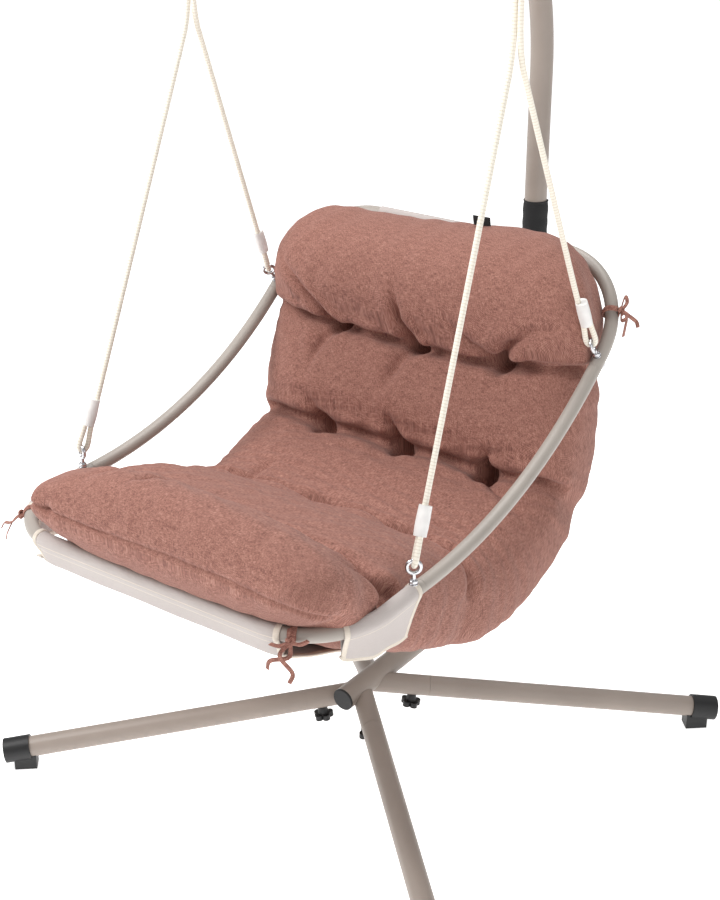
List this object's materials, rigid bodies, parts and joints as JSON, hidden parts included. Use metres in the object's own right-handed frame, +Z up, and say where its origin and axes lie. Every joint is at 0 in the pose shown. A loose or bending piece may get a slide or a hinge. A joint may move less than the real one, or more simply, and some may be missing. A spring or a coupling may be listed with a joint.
{
  "type": "hanging lounge swing chair",
  "caption": "Padded lounge seat in a tubular frame with a fabric sling, hung by ropes and a spreader bar from a C-shaped mast on a crossed tubular base.",
  "frame": {"origin": "centre of the footprint on the floor, midway between the front and back limits of the whole swing", "axes": "+Z up; the seat faces -Y; +X is to the right looking along +Y, across the seat"},
  "size_m": [1.102, 1.2233, 1.885],
  "materials": {
    "stand_paint": "satin textured powder coat, taupe",
    "frame_paint": "satin powder coat, light warm grey",
    "black_plastic": "moulded, fine texture",
    "grey_plastic": "moulded, smooth",
    "black_fabric": "woven hook-and-loop wrap",
    "zinc_steel": "bright zinc plate",
    "rope_cord": "braided cream cord",
    "white_sleeve": "satin moulded sleeve",
    "sling_fabric": "plain-weave oxford, light grey beige",
    "rose_linen": "heathered linen weave, dusty rose"
  },
  "bodies": {
    "stand": {"foot_cap_back_left": "black_plastic", "foot_cap_back_right": "black_plastic", "foot_cap_front_left": "black_plastic", "foot_cap_front_right": "black_plastic", "hanger_eyebolt": "zinc_steel", "hanger_nuts": "zinc_steel", "leg_back_left": "stand_paint", "leg_back_right": "stand_paint", "leg_front_left": "stand_paint", "leg_front_right": "stand_paint", "leg_socket_back_left": "stand_paint", "leg_socket_back_right": "stand_paint", "leg_socket_front_left": "stand_paint", "leg_socket_front_right": "stand_paint", "mast_foot_plug": "black_plastic", "mast_joint_sleeve": "stand_paint", "mast_lower": "stand_paint", "mast_tip_plug": "black_plastic", "mast_upper": "stand_paint", "mast_wrap": "black_fabric"},
    "knob_back_left": {"knob_back_left": "black_plastic"},
    "knob_back_right": {"knob_back_right": "black_plastic"},
    "knob_front_left": {"knob_front_left": "black_plastic"},
    "knob_front_right": {"knob_front_right": "black_plastic"},
    "snap_hook": {"snap_hook": "zinc_steel"},
    "snap_gate": {"snap_gate": "zinc_steel"},
    "swivel_eye": {"swivel_eye": "zinc_steel"},
    "spreader": {"swivel_body": "zinc_steel", "spreader_bar": "frame_paint", "spreader_end_caps": "grey_plastic", "spreader_collars": "grey_plastic"},
    "chair": {"back_tube": "frame_paint", "cushion": "rose_linen", "eyebolt_cap_nuts": "zinc_steel", "eyebolt_nuts": "zinc_steel", "eyebolt_washers": "zinc_steel", "eyebolts": "zinc_steel", "front_tube": "frame_paint", "rope_barrels": "white_sleeve", "rope_left": "rope_cord", "rope_right": "rope_cord", "side_tube_left": "frame_paint", "side_tube_right": "frame_paint", "sling": "sling_fabric", "sling_back_sleeve": "sling_fabric", "sling_front_sleeve": "sling_fabric", "sling_side_sleeve_left": "sling_fabric", "sling_side_sleeve_right": "sling_fabric", "tie_back_left": "rose_linen", "tie_back_right": "rose_linen", "tie_front_left": "rose_linen", "tie_front_right": "rose_linen"}
  },
  "joints": [
    {"name": "hook_swing", "type": "hinge", "parent": "stand", "child": "snap_hook", "pos_m": [0, -0.0642, 1.786], "axis": [1, 0, 0], "range_deg": [-12, 4]},
    {"name": "snap_gate_open", "type": "hinge", "parent": "snap_hook", "child": "snap_gate", "pos_m": [0, -0.0472, 1.7467], "axis": [1, 0, 0], "range_deg": [0, 20], "stiffness_Nm_per_rad": 0.01},
    {"name": "side_sway", "type": "hinge", "parent": "snap_hook", "child": "swivel_eye", "pos_m": [0, -0.0642, 1.7225], "axis": [0, 1, 0], "range_deg": [-8, 8]},
    {"name": "swivel_turn", "type": "hinge", "parent": "swivel_eye", "child": "spreader", "pos_m": [0, -0.0642, 1.66], "axis": [0, 0, 1], "range_deg": [-22, 22]},
    {"name": "chair_swing", "type": "hinge", "parent": "spreader", "child": "chair", "pos_m": [0, -0.0642, 1.64], "axis": [1, 0, 0], "range_deg": [-8, 4]},
    {"name": "knob_back_left_turn", "type": "hinge", "parent": "stand", "child": "knob_back_left", "pos_m": [-0.06041, 0.0832, 0.11598], "axis": [0.1057, -0.0952, -0.9898], "continuous": true},
    {"name": "knob_back_right_turn", "type": "hinge", "parent": "stand", "child": "knob_back_right", "pos_m": [0.06041, 0.0832, 0.11598], "axis": [-0.1057, -0.0952, -0.9898], "continuous": true},
    {"name": "knob_front_left_turn", "type": "hinge", "parent": "stand", "child": "knob_front_left", "pos_m": [-0.06041, -0.065, 0.11398], "axis": [0.1057, 0.0952, -0.9898], "continuous": true},
    {"name": "knob_front_right_turn", "type": "hinge", "parent": "stand", "child": "knob_front_right", "pos_m": [0.06041, -0.065, 0.11398], "axis": [-0.1057, 0.0952, -0.9898], "continuous": true}
  ]
}
